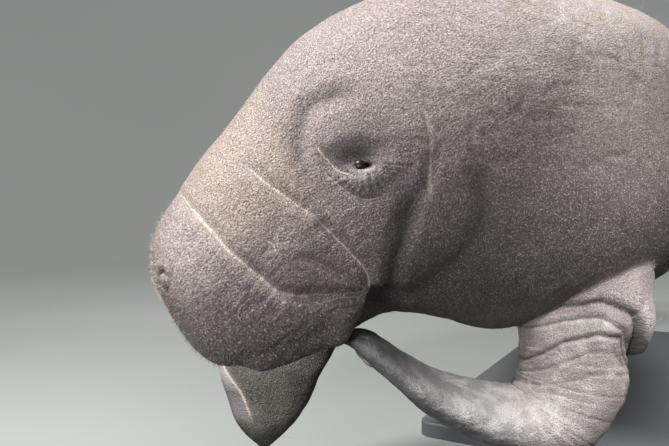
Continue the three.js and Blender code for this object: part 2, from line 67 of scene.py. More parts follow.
# Sections of the body: back x z, flank x y z, belly x z, squareness above and below
BODY = np.array([
    [-8, -62, -8, 0, -62, -8, -62, 2, 2],
    [-4, -18, -1, 52, -62, -4, -106, 2.2, 2.4],
    [17, 28, 15, 84, -70, 12, -142, 2.2, 2.6],
    [66, 64, 50, 99, -86, 50, -160, 2.1, 2.8],
    [115, 92, 95, 105, -98, 95, -172, 2.1, 2.8],
    [162, 115, 145, 107, -100, 140, -180, 2.1, 2.6],
    [210, 140, 198, 108, -96, 190, -186, 2.1, 2.4],
    [255, 163, 250, 122, -80, 232, -195, 2.2, 2.3],
    [305, 183, 305, 142, -60, 278, -222, 2.2, 2.2],
    [386, 199, 380, 160, -50, 345, -268, 2.2, 2.2],
    [480, 212, 475, 184, -50, 440, -307, 2.2, 2.2],
    [600, 226, 600, 220, -50, 580, -316, 2.2, 2.2],
    [760, 246, 760, 266, -45, 755, -306, 2.2, 2.3],
    [960, 266, 960, 306, -40, 960, -293, 2.2, 2.3],
    [1200, 274, 1200, 330, -35, 1200, -292, 2.2, 2.3],
    [1450, 258, 1450, 318, -30, 1450, -274, 2.2, 2.3],
    [1680, 222, 1680, 270, -20, 1680, -232, 2.1, 2.2],
    [1880, 170, 1880, 208, -10, 1880, -182, 2, 2.1],
    [2040, 125, 2040, 168, 0, 2040, -138, 1.9, 2],
    [2160, 98, 2160, 172, 2, 2160, -102, 1.6, 1.7],
    [2280, 74, 2280, 222, 0, 2280, -74, 1.4, 1.4],
    [2400, 56, 2400, 290, 0, 2400, -54, 1.4, 1.4],
    [2520, 42, 2520, 338, 0, 2520, -40, 1.4, 1.4],
    [2640, 31, 2640, 345, 0, 2640, -29, 1.4, 1.4],
    [2750, 22, 2748, 305, 0, 2750, -20, 1.4, 1.4],
    [2835, 14, 2828, 222, 0, 2835, -13, 1.4, 1.4],
    [2882, 9, 2878, 116, 0, 2882, -9, 1.5, 1.5],
    [2898, 0, 2898, 0, 0, 2898, 0, 2, 2],
], float)
JAW = np.array([
    [48, -158, 48, 0, -158, 48, -158, 2, 2],
    [52, -142, 54, 36, -158, 54, -173, 2, 2],
    [76, -128, 78, 52, -158, 76, -183, 2.2, 2.2],
    [130, -122, 130, 60, -160, 128, -191, 2.2, 2.2],
    [185, -122, 188, 64, -160, 185, -196, 2.2, 2.2],
    [232, -132, 236, 56, -164, 232, -201, 2.2, 2.2],
    [272, -156, 276, 34, -182, 272, -213, 2, 2],
    [290, -190, 290, 0, -190, 290, -190, 2, 2],
], float)

# Folds and creases: depth, width, how pale the crease is, half the width of its pale line, and the line on
# the left side as x y z, or as x z where it lies on the side of the head
FOLDS = [
    (3.6, 13, 1, 2.5, [[70, 0, 64], [66, -66, 32], [77, -95, -23], [99, -105, -75],
        [113, -105, -91], [133, -105, -104]]),
    (5, 14, 0.35, 1.1, [[112, -92], [142, -108], [189, -132], [200, -133]]),
    (3.4, 14, 1, 1.7, [[138, -68, 63], [153, -88, 27], [181, -102, -26]]),
    (4.5, 14, 0.9, 1.5, [[181, -102, -26], [194, -107, -66], [207, -109, -113], [204, -104, -132]]),
    (2.4, 9, 0.35, 1, [[145, -105, -58], [174, -107, -95], [195, -104, -128]]),
    (2.2, 7, 0.45, 0.9, [[124, -113], [158, -123], [193, -139]]),
    (2.6, 7, 0.3, 0.8, [[142, -122], [168, -131], [192, -142]]),
    (2.2, 7, 0.3, 0.8, [[150, -134], [170, -140], [188, -149]]),
    (2.2, 8, 0.9, 0.9, [[220, -92, 51], [225, -101, 27], [230, -106, 13], [243, -112, -3]]),
    (2, 8, 0.8, 0.8, [[213, -99, 17], [222, -106, -3], [233, -112, -24], [247, -119, -36],
        [262, -124, -38]]),
    (5, 24, 0, 1, [[198, -88, 30], [205, -84, 59], [216, -81, 75], [236, -82, 94],
        [258, -92, 95], [283, -108, 89]]),
    (1.4, 7, 0.55, 2.4, [[343, 38], [337, 10], [330, -14], [319, -38], [309, -62]]),
    (3.5, 15, 0.2, 1, [[334, -148, -12], [311, -144, -45], [279, -133, -68]]),
    (7, 24, 0, 1, [[286, -135, -58], [262, -126, -90], [240, -115, -125], [227, -94, -162]]),
    (4.5, 34, 0, 1, [[374, -150, -70], [366, -155, -102], [349, -147, -130], [308, -128, -152],
        [264, -96, -175]]),
    (9, 22, 0, 1, [[-4, 0, -92], [10, 0, -130], [46, 0, -160]]),
    (1.2, 60, 0, 1, [[395, 0, 210], [395, -120, 130], [400, -165, -40], [385, -120, -215]]),
    (2, 80, 0, 1, [[560, 0, 232], [560, -150, 160], [555, -215, 0], [545, -190, -150]]),
    (7, 16, 0, 1, [[1190, 0, -292], [1210, 0, -292]]),
    (4, 32, 0, 1, [[2060, 0, 125], [2060, -130, 60], [2060, -165, 0], [2060, 0, -140]]),
    (0.9, 5, 0.9, 1, [[117, -24], [122, -31], [121, -40]]),
    (0.9, 5, 0.9, 1, [[108, -36], [122, -31], [134, -34]]),
    (0.9, 5, 0.7, 0.8, [[122, -31], [130, -20]]),
]
SWELLINGS = [
    (13, 40, [[62, -60, -160], [100, -66, -172], [146, -68, -180]]),
    (7, 34, [[164, -84, -158], [160, -66, -178]]),
]
EYE = (258, 104, 4)
EYE_RADIUS = 10
EAR = (386, -153, 12)
MOUTH_CORNER = (206, -132)
LIP_SLOPE = (0.82, -0.572)

# Flippers as they are posed: inner edge x y z, outer edge x y z, half the thickness along the line of sight
LOOK = np.array([0.866, 0.5, 0])
LEFT_FLIPPER = np.array([
    [-800, -90, 440, -800, -90, 440, 0],
    [-883, 33, 410, -775, -154, 435, 60],
    [-917, 12, 331, -808, -176, 368, 66],
    [-937, -7, 289, -842, -172, 307, 66],
    [-948, -13, 253, -870, -148, 253, 60],
    [-958, -11, 220, -880, -147, 198, 57],
    [-970, -6, 201, -901, -126, 149, 58],
    [-989, 7, 205, -930, -95, 111, 60],
    [-1014, 30, 212, -974, -39, 105, 64],
    [-1053, 69, 226, -1028, 26, 136, 68],
    [-1087, 100, 250, -1074, 79, 173, 66],
    [-1114, 120, 271, -1112, 116, 218, 58],
    [-1138, 138, 290, -1142, 146, 256, 46],
    [-1156, 155, 293, -1158, 160, 274, 32],
    [-1171, 174, 277, -1171, 174, 277, 0],
], float)
RIGHT_FLIPPER = np.array([
    [-640, 150, 350, -640, 150, 350, 0],
    [-683, 186, 409, -663, 151, 278, 48],
    [-769, 206, 390, -759, 188, 279, 46],
    [-853, 251, 388, -837, 224, 291, 42],
    [-928, 306, 365, -902, 260, 284, 40],
    [-1001, 358, 311, -956, 280, 243, 34],
    [-1069, 416, 249, -993, 284, 211, 28],
    [-1099, 427, 202, -1018, 287, 189, 25],
    [-1103, 408, 151, -1039, 298, 148, 21],
    [-1102, 387, 113, -1061, 316, 113, 17],
    [-1088, 348, 76, -1088, 348, 76, 0],
], float)
# Folds round the left arm: where each runs, in sections, at five places from the inner to the outer edge, and
# its width and depth
ARM_FOLDS = [
    ([2.75, 2.45, 2.42, 2.9, 4.2], 0.2, 6),
    ([3.2, 2.9, 2.87, 3.45, 4.3], 0.16, 4),
    ([4.4, 3.6, 3.42, 3.6, 4.6], 0.18, 4.5),
    ([4.9, 4.3, 3.95, 4.0, 4.8], 0.16, 2),
    ([5.5, 5.0, 4.6, 4.5, 5.1], 0.14, 1.2),
]
SHOULDER_SKIN = (7, 13)
# Half of a nail's length, width and thickness, and where the nails lie: the section and the angle round it
NAIL = (10, 7, 3.2)
NAILS = {"left": [(11.9, 0.5), (12.1, 0), (12, -0.5)], "right": [(8.9, -1.1), (9.3, -1.57), (8.9, -2.1)]}

# Meshes of the skin: columns round each, millimetres between rings, and places in the unwrap
COLUMNS = {"body": 400, "jaw": 150, "left": 190, "right": 120}
SPACING = {"body": 2.2, "jaw": 2.5, "left": 2.4, "right": 3.2}
REAR_SPACING = 7.5
UNWRAP = {
    "body": (0.002, 0.002, 0.998, 0.72),
    "jaw": (0.86, 0.73, 0.998, 0.998),
    "left": (0.002, 0.73, 0.5, 0.998),
    "right": (0.51, 0.73, 0.85, 0.998),
}
# How far each seam of the skin is rounded off, in metres: the jaw's, the left flipper's and the right one's
SEAM_REACH = {1: 0.004, 2: 0.016, 3: 0.016}
# How far off the nearest crease is, where there is none
FAR = 9.0
# A hair is three-sided: the angles of its edges
HAIR_EDGES = (0, 2.094, 4.189)
FLOOR_RADIUS = 6
WALL_CURVE = 1.5
WALL_TOP = 6


def smooth(x, low, high):
    u = np.clip((x - low) / (high - low), 0, 1)
    return u * u * (3 - 2 * u)


def through(values, t):
    """The values as a smooth curve: t is 0 at the first one and 1 more at each next one."""
    last = len(values) - 1
    i = np.clip(np.floor(t).astype(int), 0, last - 1)
    u = t - i
    b, c = values[i], values[i + 1]
    a = np.where(i > 0, values[np.maximum(i - 1, 0)], 2 * b - c)
    d = np.where(i + 2 <= last, values[np.minimum(i + 2, last)], 2 * c - b)
    return b + 0.5 * u * (c - a + u * (2 * a - 5 * b + 4 * c - d + u * (3 * (b - c) + d - a)))


def body_surface(sections, t, angle):
    back_x, back_z, x, y, z, belly_x, belly_z, above, below = (through(column, t) for column in sections.T)
    up = np.sin(angle) >= 0
    power = 2 / np.where(up, above, below)
    rise = np.abs(np.sin(angle)) ** power
    side = np.sign(np.cos(angle)) * np.abs(np.cos(angle)) ** power
    return np.stack([
        x + (np.where(up, back_x, belly_x) - x) * rise,
        y * side,
        z + (np.where(up, back_z, belly_z) - z) * rise,
    ], -1)


def limb_surface(sections, t, angle):
    inner = np.stack([through(sections[:, k], t) for k in range(3)], -1)
    outer = np.stack([through(sections[:, 3 + k], t) for k in range(3)], -1)
    half = through(sections[:, 6], t)[..., None]
    across, deep = np.cos(angle)[..., None], np.sin(angle)[..., None]
    return (inner + outer) / 2 + 0.5 * (outer - inner) * across - LOOK * half * deep


def noise(p, size, seed=0):
    """Smooth noise from -1 to 1 whose bumps are about as wide as size, which may differ along the axes."""
    q = p / np.asarray(size, float) + 100.5
    cell = np.floor(q).astype(np.int64)
    f = q - cell
    f = f * f * f * (f * (f * 6 - 15) + 10)
    total = np.zeros(len(p))
    for corner in range(8):
        step = np.array([corner & 1, corner >> 1 & 1, corner >> 2 & 1])
        c = cell + step
        h = c[:, 0] * 73856093 ^ c[:, 1] * 19349663 ^ c[:, 2] * 83492791 ^ (seed + 1) * 2654435761
        h &= 0xFFFFFFFF
        h = (h ^ (h >> 15)) * 2246822519 & 0xFFFFFFFF
        h = (h ^ (h >> 13)) * 3266489917 & 0xFFFFFFFF
        h ^= h >> 16
        weight = np.where(step == 1, f, 1 - f).prod(1)
        total += weight * (h / 0x7FFFFFFF - 1)
    return total


def curve(line, steps=8):
    line = np.asarray(line, float)
    t = np.linspace(0, len(line) - 1, (len(line) - 1) * steps + 1)
    return np.stack([through(line[:, k], t) for k in range(line.shape[1])], -1)


def near(p, out, line, width):
    """Which points lie within width of a line, how far off it, how far along it and on which side."""
    if line.shape[1] == 2:
        p = p[:, [0, 2]]
    low, high = line.min(0) - width, line.max(0) + width
    found = np.flatnonzero(((p > low) & (p < high)).all(1))
    p, out = p[found], out[found]
    best, place, side = np.full(len(p), 1e9), np.zeros(len(p)), np.ones(len(p))
    for i in range(len(line) - 1):
        a, ahead = line[i], line[i + 1] - line[i]
        u = np.clip((p - a) @ ahead / max(ahead @ ahead, 1e-9), 0, 1)
        off = p - a - u[:, None] * ahead
        far = np.linalg.norm(off, axis=1)
        nearer = far < best
        best[nearer] = far[nearer]
        place[nearer] = (i + u[nearer]) / (len(line) - 1)
        if line.shape[1] == 2:
            hand = np.sign(ahead[0] * off[:, 1] - ahead[1] * off[:, 0])
        else:
            hand = np.sign((np.cross(ahead, off) * out).sum(1))
        side[nearer] = hand[nearer]
    inside = best < width
    return found[inside], best[inside], place[inside], side[inside]


def grid_normals(grid):
    """Outward normals of a grid of rings."""
    down = np.gradient(grid, axis=0)
    round_ = np.roll(grid, -1, 1) - np.roll(grid, 1, 1)
    n = np.cross(round_, down)
    return n / np.maximum(np.linalg.norm(n, axis=2, keepdims=True), 1e-12)


def rings(surface, sections, columns, spacing):
    """A grid over a surface between its poles: t and angle of each point, with rings spaced as asked."""
    last = len(sections) - 1
    fine = np.linspace(0, last, last * 60 + 1)
    probe = np.linspace(0, 2 * np.pi, 9)[:-1]
    p = surface(sections, np.repeat(fine[:, None], 8, 1), np.repeat(probe[None], len(fine), 0))
    step = np.linalg.norm(np.diff(p, axis=0), axis=2).max(1)
    middle = (p[1:].mean(1) + p[:-1].mean(1)) / 2
    count = np.concatenate([[0], np.cumsum(step / spacing(middle))])
    t = np.interp(np.arange(0.5, count[-1] - 0.25), count, fine)
    dense = np.linspace(0, 2 * np.pi, 1441)
    angle = np.zeros((len(t), columns))
    for i, value in enumerate(t):
        ring = surface(sections, np.full(len(dense), value), dense)
        length = np.concatenate([[0], np.cumsum(np.linalg.norm(np.diff(ring, axis=0), axis=1))])
        angle[i] = np.interp(np.arange(columns) / columns * length[-1], length, dense)
    return np.repeat(t[:, None], columns, 1), angle


def turn_at(x):
    """The turn of the slice of the straight body at x, as matrices."""
    head, tail = 1 - smooth(x, NECK_FRONT, NECK_REAR), smooth(x, TAIL_FRONT, TAIL_REAR)
    pitch = np.radians(HEAD_PITCH * head - TAIL_DROOP * tail)
    yaw = np.radians(HEAD_YAW * (1 - smooth(x, NECK_FRONT, TURN_REAR)))
    c, s, cy, sy = np.cos(pitch), -np.sin(pitch), np.cos(yaw), -np.sin(yaw)
    zero, one = np.zeros_like(c), np.ones_like(c)
    rise = np.stack([c, zero, s, zero, one, zero, -s, zero, c], -1).reshape(*c.shape, 3, 3)
    turn = np.stack([cy, -sy, zero, sy, cy, zero, zero, zero, one], -1).reshape(*c.shape, 3, 3)
    return turn @ rise


def make_backbone():
    places = {STILL: np.array([STILL, 0, 0], float)}
    for step in (10, -10):
        x, place = STILL, places[STILL]
        while -200 < x < 2960:
            place = place + turn_at(np.array(x + step / 2)) @ np.array([step, 0, 0])
            x += step
            places[x] = place
    keys = sorted(places)
    return np.array(keys, float), np.array([places[k] for k in keys])


SLICES, BACKBONE = make_backbone()


def posed(p):
    on = np.stack([np.interp(p[:, 0], SLICES, BACKBONE[:, k]) for k in range(3)], 1)
    flat = p.copy()
    flat[:, 0] = 0
    return (turn_at(p[:, 0]) @ flat[..., None])[..., 0] + on + [-SNOUT_TO_CENTRE, 0, SNOUT_HEIGHT]


def skin_relief(p, out):
    """How far the skin stands out at points of the straight body, and its marks there: pale creases, painted
    shade and painted highlights.
    """
    left, left_out = p.copy(), out.copy()
    left[:, 1] = -np.abs(p[:, 1])
    left_out[:, 1] = -np.abs(out[:, 1])
    side = left[:, 1] < -50
    wander = np.stack([noise(p, 22, k) for k in range(3)], 1) * 1.4
    bent = left + wander
    furrow, rise = np.zeros(len(p)), np.zeros(len(p))
    pale, dark, crease = np.zeros(len(p)), np.zeros(len(p)), np.full(len(p), FAR)
    for depth, width, paleness, half, line in FOLDS:
        i, far, place, hand = near(bent, left_out, curve(line), width)
        if len(line[0]) == 2:
            keep = side[i]
            i, far, place, hand = i[keep], far[keep], place[keep], hand[keep]
        ends = smooth(place, -0.04, 0.14) * (1 - smooth(place, 0.86, 1.04)) if width < 30 else 1
        share = far / width
        valley = 0.5 * (1 - share) ** 2 + 0.5 * (1 - share**2) ** 2
        furrow[i] = np.maximum(furrow[i], depth * valley * (0.3 + 0.7 * ends))
        band = paleness * (1 - smooth(far, 3 * half, 5 * half)) * (0.25 + 0.75 * ends)
        here = band > pale[i]
        pale[i[here]] = band[here]
        crease[i[here]] = (far * hand / half)[here]
        # Painted shade in the deep folds
        if depth > 2:
            dark[i] = np.maximum(dark[i], (1 - paleness) * (1 - share) ** 2 * min(depth / 7, 1))
    for height, width, line in SWELLINGS:
        i, far, _, _ = near(left, left_out, curve(line), width)
        rise[i] += height * (1 - (far / width) ** 2) ** 2
    depth = furrow - rise

    # Behind the lips: a hollow, with painted shade in it
    behind = (left[:, 0] - MOUTH_CORNER[0]) * LIP_SLOPE[0] + (left[:, 2] - MOUTH_CORNER[1]) * LIP_SLOPE[1]
    down = (MOUTH_CORNER[0] - left[:, 0]) * -LIP_SLOPE[1] + (MOUTH_CORNER[1] - left[:, 2]) * LIP_SLOPE[0]
    hollow = smooth(behind, -1, 6) * (1 - smooth(behind, 26, 80))
    hollow = hollow * smooth(down, -8, 12) * smooth(-left[:, 1], 30, 75)
    depth += 16 * hollow
    # Painted shade in the hollow behind the lips
    dark = np.maximum(dark, hollow * 0.8)

    # Eye: a hollow above it, the lids, the pleats of the pouch under it, and the slit over the eyeball
    x, z = left[:, 0] - EYE[0], left[:, 2] - EYE[2]
    x, z = x * 0.96 - z * 0.28, z * 0.96 + x * 0.28
    above = np.hypot((x + 10) / 1.6, z - 11)
    depth += side * 8 * (1 - smooth(above, 2, 30))
    # Painted shade in the hollow above the eye
    dark = np.maximum(dark, side * (1 - smooth(above, 4, 26)) * smooth(z, -5, 4))
    shade = np.hypot((x + 4) / 1.15, (z - 12) / 0.9)
    # Painted shade spread round the eye
    dark = np.maximum(dark, side * 0.3 * (1 - smooth(shade, 36, 62)))
    far = np.hypot((x + 1.5) / 2, z / 0.85)
    round_ = np.arctan2(z, x)
    lid = np.exp(-(((far - 7) / 3) ** 2)) * (0.6 - 0.4 * np.sin(round_))
    depth -= side * 3 * lid
    brim = np.hypot(x / 1.9, (z - 4) / 1.1)
    # Painted shade round the slit, and at either end of it
    dark = np.maximum(dark, side * 0.95 * (1 - smooth(brim, 4, 13)))
    ends = np.exp(-(((np.abs(x + 1) - 23) / 9) ** 2) - ((z + 4) / 10) ** 2)
    dark = np.maximum(dark, side * 0.6 * ends)
    low = smooth(-z, -4, 6)
    pouch = np.exp(-(((x - 1) / 13) ** 2)) * smooth(-z, 2, 8) * (1 - smooth(-z, 10, 40))
    depth -= side * 4 * pouch
    wide = np.hypot(x / 1.3, z)
    pleats = smooth(wide, 5, 11) * (1 - smooth(wide, 22, 42)) * (0.2 + 0.8 * low)
    phase = np.arctan2(z, x / 1.3) * 13 + 2.2 * noise(left, 16, 31)
    pleat = np.abs(np.sin(phase)) ** 0.6
    depth += side * 3 * pleats * (0.55 - pleat)
    # Painted shade in the grooves between the pleats
    dark = np.maximum(dark, side * 0.55 * pleats * (1 - smooth(pleat, 0.3, 0.75)))
    depth += side * 11 * (1 - smooth(far, 2.6, 4.6))
    # Painted shade in the slit
    dark = np.maximum(dark, side * (1 - smooth(far, 3.4, 6.5)))

    # Nostril: a crescent over its valve, and a fold under it
    u, v = (left[:, 1] + 44) / 9.5, (left[:, 2] + 17) / 10
    ring = np.hypot(u, v)
    front = (left[:, 0] < 40) & (ring < 3)
    upper = smooth(v + 0.25 * u, -0.3, 0.45)
    slit = np.exp(-(((ring - 1) / 0.19) ** 2)) * upper
    under = np.exp(-(((ring - 1.25) / 0.25) ** 2)) * smooth(-v, 0.1, 0.7) * smooth(-u, -0.9, 0.1)
    depth += np.where(front, 5 * slit + 1.8 * under - 3.2 * np.exp(-((ring / 0.85) ** 2)), 0)
    depth -= np.where(front, 2 * np.exp(-(((ring - 1.8) / 0.45) ** 2)) * upper, 0)
    # Painted shade in the nostril's slit and under its fold
    dark = np.maximum(dark, np.where(front, np.maximum(0.85 * slit, 0.35 * under), 0))

    # Pinhole of the ear
    ear = np.linalg.norm(left - np.array(EAR), axis=1)
    depth += 5 * (1 - smooth(ear, 0, 5))
    # Painted shade in the pinhole
    dark = np.maximum(dark, 1 - smooth(ear, 1, 7))
    # Painted highlight on the pleats of the pouch under the eye
    light = side * pouch * (1 - smooth(-z, 16, 30)) * pleat
    return -depth, {"pale": pale, "dark": dark, "crease": crease, "light": light}


def skin_texture(p):
    """Small swellings and wrinkles of the skin on the straight body."""
    x = p[:, 0]
    head = 1 - smooth(x, 380, 620)
    muzzle = 1 - smooth(x, 90, 200)
    lumps = 1.7 * noise(p, 62, 11) * (1 - 0.5 * muzzle) + 0.8 * noise(p, 30, 12)
    lumps = lumps * (0.6 + 0.4 * head) + (1 - head) * 2.2 * noise(p, (90, 140, 140), 13)
    ring_lines = 1 - np.abs(noise(p + 6 * noise(p, 40, 17)[:, None], (13, 70, 70), 14))
    cross_lines = 1 - np.abs(noise(p, (34, 16, 16), 15))
    rings_depth = (0.6 + 0.5 * smooth(x, 300, 520)) * (1 - 0.7 * smooth(x, 1900, 2300))
    wrinkles = -rings_depth * smooth(ring_lines, 0.82, 1) - 0.5 * smooth(cross_lines, 0.84, 1)
    pebbles = 0.14 * noise(p, 8, 16) + 0.09 * noise(p, 4.5, 18)
    pads = smooth(-p[:, 2], 60, 120) * muzzle
    along, over = 0.91 * x + 0.41 * p[:, 2], 0.91 * p[:, 2] - 0.41 * x
    slanted = 1 - np.abs(noise(np.stack([along, over, p[:, 1]], 1), (34, 6.5, 34), 19))
    slanted = smooth(slanted, 0.6, 1) * smooth(x, 20, 50) * (1 - smooth(x, 110, 150))
    slanted = slanted * smooth(-p[:, 2], 20, 60)
    pebbles = pebbles * (1 + 1.1 * pads)
    return lumps - 0.6 * slanted + wrinkles * (1 - 0.6 * muzzle) + pebbles * (0.4 + 0.6 * head)


def arm_relief(t, angle, p, side):
    """How far the skin of a flipper stands out, and the painted shade on it."""
    depth = 0.9 * noise(p, 34, 21) + 0.5 * noise(p, 14, 22)
    dark = np.zeros(len(p))
    if side == "left":
        places = np.linspace(-1, 1, 5)
        across = np.cos(angle)
        edge = t - np.interp(across, places, ARM_FOLDS[0][0])
        loose = SHOULDER_SKIN[0] + SHOULDER_SKIN[1] * smooth(across, 0.2, 1)
        depth += loose * smooth(edge, -1.5, -0.1) * (1 - smooth(edge, -0.04, 0.1))
        wavy = t + 0.05 * noise(p, 40, 23) + 0.02 * noise(p, 13, 24)
        for run, width, deep in ARM_FOLDS:
            far = np.minimum(np.abs(wavy - np.interp(across, places, run)) / width, 1)
            depth -= deep * (0.6 * (1 - far) ** 2 + 0.4 * (1 - far**2) ** 2)
            # Painted shade in the folds
            dark = np.maximum(dark, (1 - np.minimum(far * 2.4, 1)) * min(deep / 5, 1))
        # Painted shadow under the rim of the sleeve
        under = smooth(edge, -0.05, 0.05) * (1 - smooth(edge, 0.1, 0.5))
        dark = np.maximum(dark, 0.8 * under * smooth(across, 0, 0.8))
        # Painted shade on the lower side of the hand
        dark = np.maximum(dark, 0.4 * smooth(across, -0.3, 0.8) * smooth(t, 5, 7.5))
        sleeve = smooth(t, 1.6, 2.4) * (1 - smooth(edge, -0.25, 0))
        grooves = 1 - np.abs(noise(np.stack([t * 50, angle * 60 + 2.2 * t, t * 0], 1), (120, 9, 9), 25))
        depth -= 1.8 * sleeve * smooth(grooves, 0.7, 1)
        bend = smooth(t, 3.4, 4) * (1 - smooth(t, 7, 8.5))
        creases = 1 - np.abs(noise(np.stack([t * 55, angle * 30, t * 0], 1), (9, 60, 60), 26))
        depth -= 1.1 * bend * smooth(creases, 0.72, 1)
    lines = 1 - np.abs(noise(p, (30, 30, 11), 27))
    if side == "left":
        depth -= 0.9 * smooth(t, 7, 9) * smooth(lines, 0.8, 1)
        return depth + 0.25 * noise(p, 5, 28), dark
    return 0.6 * depth - 0.4 * smooth(t, 4, 6) * smooth(lines, 0.8, 1), dark


def array_mesh(name, points, corners, starts):
    """A mesh from arrays: the points, the point at each corner and the first corner of each face."""
    mesh = bpy.data.meshes.new(name)
    mesh.vertices.add(len(points))
    mesh.vertices.foreach_set("co", points.astype(np.float32).ravel())
    mesh.loops.add(len(corners))
    mesh.loops.foreach_set("vertex_index", corners)
    mesh.polygons.add(len(starts))
    mesh.polygons.foreach_set("loop_start", starts)
    return mesh


def unwrap(mesh, uv):
    mesh.uv_layers.new(name="OFBake").data.foreach_set("uv", uv.astype(np.float32).ravel())
    mesh.update(calc_edges=True)
    mesh.validate()


def closed_mesh(name, grid, first, last, attributes):
    """A closed mesh in metres from a grid of rings and two poles, with attributes and a UV map."""
    rows, columns = grid.shape[:2]
    points = np.concatenate([first[None], grid.reshape(-1, 3), last[None]]) * MM
    at = 1 + np.arange(rows * columns).reshape(rows, columns)
    right = np.roll(at, -1, 1)
    quads = np.stack([at[:-1], right[:-1], right[1:], at[1:]], -1).reshape(-1, 4)
    front = np.stack([np.zeros(columns, int), right[0], at[0]], -1)
    rear = np.stack([np.full(columns, rows * columns + 1), at[-1], right[-1]], -1)
    corners = np.concatenate([quads.ravel(), front.ravel(), rear.ravel()])
    sizes = np.concatenate([np.full(len(quads), 4), np.full(2 * columns, 3)])
    mesh = array_mesh(name, points, corners, np.concatenate([[0], np.cumsum(sizes)[:-1]]))
    for key, values in attributes.items():
        kind, slot = ("FLOAT_VECTOR", "vector") if values.ndim == 2 else ("FLOAT", "value")
        ends = [values[:columns].mean(0), values[-columns:].mean(0)]
        values = np.concatenate([[ends[0]], values, [ends[1]]])
        layer = mesh.attributes.new(key, kind, "POINT")
        layer.data.foreach_set(slot, values.astype(np.float32).ravel())
    u0, v0, u1, v1 = UNWRAP[name]
    j = np.arange(columns)
    v = (np.arange(rows) + 0.5) / rows
    us = np.stack([j, j + 1, j + 1, j], -1) / columns
    quad_uv = np.empty((rows - 1, columns, 4, 2))
    quad_uv[..., 0] = us[None]
    quad_uv[..., 1] = np.stack([v[:-1], v[:-1], v[1:], v[1:]], -1)[:, None]
    front_v, rear_v = np.tile([0, v[0], v[0]], (columns, 1)), np.tile([1, v[-1], v[-1]], (columns, 1))
    front_uv = np.stack([np.stack([j + 0.5, j + 1, j], -1) / columns, front_v], -1)
    rear_uv = np.stack([np.stack([j + 0.5, j, j + 1], -1) / columns, rear_v], -1)
    uv = np.concatenate([quad_uv.reshape(-1, 2), front_uv.reshape(-1, 2), rear_uv.reshape(-1, 2)])
    uv = uv * [u1 - u0, v1 - v0] + [u0, v0]
    unwrap(mesh, uv)
    return mesh


def thing(name, data):
    made = bpy.data.objects.new(name, data)
    bpy.context.scene.collection.objects.link(made)
    return made


def shade_smooth(mesh):
    mesh.polygons.foreach_set("use_smooth", np.ones(len(mesh.polygons), bool))


def list_mesh(name, points, faces):
    mesh = bpy.data.meshes.new(name)
    mesh.from_pydata(points, [], faces)
    shade_smooth(mesh)
    return mesh


def ring_faces(count, columns, first=0):
    """The faces between rings of points that are numbered from first."""
    faces = []
    for i in range(count - 1):
        at = first + i * columns
        for j in range(columns):
            n = (j + 1) % columns
            faces.append((at + j, at + n, at + columns + n, at + columns + j))
    return faces


def posed_mesh(name, grid, marks):
    """The mesh of a grid that is laid out straight, turned into the pose."""
    shown = posed(grid.reshape(-1, 3)).reshape(grid.shape)
    ends = posed(np.stack([grid[0].mean(0), grid[-1].mean(0)]))
    return closed_mesh(name, shown, ends[0], ends[1], marks)


def body_mesh():
    def spacing(middle):
        return SPACING["body"] + REAR_SPACING * smooth(middle[:, 0], 430, 1150)

    t, angle = rings(body_surface, BODY, COLUMNS["body"], spacing)
    grid = body_surface(BODY, t, angle)
    flat = grid.reshape(-1, 3)
    out = grid_normals(grid)
    high, marks = skin_relief(flat, out.reshape(-1, 3))
    grid = grid + out * high.reshape(t.shape)[..., None]
    fine = skin_texture(flat)
    fine *= smooth(np.hypot(flat[:, 0] - EYE[0], flat[:, 2] - EYE[2]), 8, 40)
    grid = grid + grid_normals(grid) * fine.reshape(t.shape)[..., None]
    return posed_mesh("body", grid, {"place": flat * MM, "limb": np.zeros(len(flat)), **marks})


def jaw_mesh():
    t, angle = rings(body_surface, JAW, COLUMNS["jaw"], lambda _: SPACING["jaw"])
    grid = body_surface(JAW, t, angle)
    flat = grid.reshape(-1, 3)
    fine = 0.8 * noise(flat, 24, 41) + 0.35 * noise(flat, 7, 42)
    grid = grid + grid_normals(grid) * fine.reshape(t.shape)[..., None]
    zero = np.zeros(len(flat))
    # Painted shade all over the jaw, which lies under the lip pads
    marks = {"pale": zero, "dark": zero + 0.3, "crease": zero + FAR, "light": zero, "limb": zero}
    return posed_mesh("jaw", grid, {"place": flat * MM, **marks})


def limb_mesh(side, sections):
    t, angle = rings(limb_surface, sections, COLUMNS[side], lambda _: SPACING[side])
    grid = limb_surface(sections, t, angle)
    flat = grid.reshape(-1, 3)
    shape, t, angle = t.shape, t.ravel(), angle.ravel()
    out, dark = arm_relief(t, angle, flat, side)
    grid = grid + grid_normals(grid) * out.reshape(shape)[..., None]
    zero = np.zeros(len(flat))
    marks = {"place": flat * MM, "pale": zero, "dark": dark, "crease": zero + FAR, "light": zero}
    if side == "left":
        marks["limb"] = np.interp(t, [1.5, 2.6, 3, 6, 8.5], [0.06, 0.15, 0.72, 0.66, 1])
    else:
        # Over 1 is the right flipper. Painted highlights: a cream line down its front ridge and a pale patch
        # before it
        marks["limb"] = 1.4 + 0.6 * smooth(t, 4, 6.5)
        off = (np.cos(angle) - np.interp(t, [6.8, 7.6, 8.8], [-1, -0.6, -0.35])) * 75
        facing = smooth(np.sin(angle), 0, 0.2)
        patch = 0.9 * facing * smooth(t, 6.6, 7) * (1 - smooth(t, 7.2, 8)) * (1 - smooth(off, -4, 6))
        faint = 0.35 * facing * smooth(t, 7, 8) * (1 - smooth(t, 8.3, 9)) * (1 - smooth(off, -8, 2))
        marks["crease"] = off / 3
        marks["pale"] = 0.8 * facing * smooth(t, 6.7, 7) * (1 - smooth(t, 8, 8.9))
        marks["light"] = np.maximum(patch, faint)
    return closed_mesh(side, grid, grid[0].mean(0), grid[-1].mean(0), marks)


